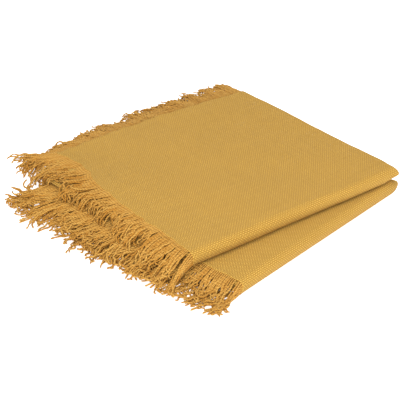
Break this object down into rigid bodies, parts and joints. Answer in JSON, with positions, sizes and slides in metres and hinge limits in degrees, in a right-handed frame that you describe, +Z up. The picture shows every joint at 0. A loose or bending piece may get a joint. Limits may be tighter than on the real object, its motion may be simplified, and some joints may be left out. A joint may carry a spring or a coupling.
{
  "type": "folded throw blanket",
  "caption": "Fringed woven throw folded into two stacked packets joined along the back crease, with the upper packet turned a little.",
  "frame": {"origin": "centre of the lower packet's outline, on the underside", "axes": "+X along the lower front fold to the clean side, +Y from the front fold to the back crease, +Z up"},
  "size_m": [0.5484, 0.5258, 0.0472],
  "materials": {
    "woven_cloth": "matte plain weave",
    "fringe": "matte loose yarn"
  },
  "bodies": {
    "lower_packet": {"bottom_back_leaf": "woven_cloth", "bottom_core_leaf": "woven_cloth", "bottom_end_fringe_back": "fringe", "bottom_end_fringe_core": "fringe", "bottom_end_fringe_face": "fringe", "bottom_face_leaf": "woven_cloth", "bottom_left_crease": "woven_cloth", "bottom_right_crease": "woven_cloth", "bottom_side_fringe": "fringe", "bottom_tucked_fringe": "fringe", "lower_fold_fringe": "fringe", "lower_front_fold_back": "woven_cloth", "lower_front_fold_core": "woven_cloth", "lower_front_fold_face": "woven_cloth", "middle_back_fold_back": "woven_cloth", "middle_back_fold_core": "woven_cloth", "middle_back_fold_face": "woven_cloth", "second_back_leaf": "woven_cloth", "second_core_leaf": "woven_cloth", "second_face_leaf": "woven_cloth", "second_left_crease": "woven_cloth", "second_right_crease": "woven_cloth", "second_side_fringe": "fringe", "second_tucked_fringe": "fringe"},
    "upper_packet": {"third_back_leaf": "woven_cloth", "third_core_leaf": "woven_cloth", "third_face_leaf": "woven_cloth", "third_left_crease": "woven_cloth", "third_right_crease": "woven_cloth", "third_side_fringe": "fringe", "third_tucked_fringe": "fringe", "top_back_leaf": "woven_cloth", "top_core_leaf": "woven_cloth", "top_end_fringe_back": "fringe", "top_end_fringe_core": "fringe", "top_end_fringe_face": "fringe", "top_face_leaf": "woven_cloth", "top_left_crease": "woven_cloth", "top_right_crease": "woven_cloth", "top_side_fringe": "fringe", "top_tucked_fringe": "fringe", "upper_fold_fringe": "fringe", "upper_front_fold_back": "woven_cloth", "upper_front_fold_core": "woven_cloth", "upper_front_fold_face": "woven_cloth"}
  },
  "joints": [
    {"name": "unfold", "type": "hinge", "parent": "lower_packet", "child": "upper_packet", "pos_m": [0.007, 0.191, 0.0236], "axis": [-0.999, 0.0439, 0], "range_deg": [0, 179], "deforming": ["middle_back_fold_back", "middle_back_fold_core", "middle_back_fold_face", "top_end_fringe_back", "top_end_fringe_core", "top_end_fringe_face"]}
  ]
}
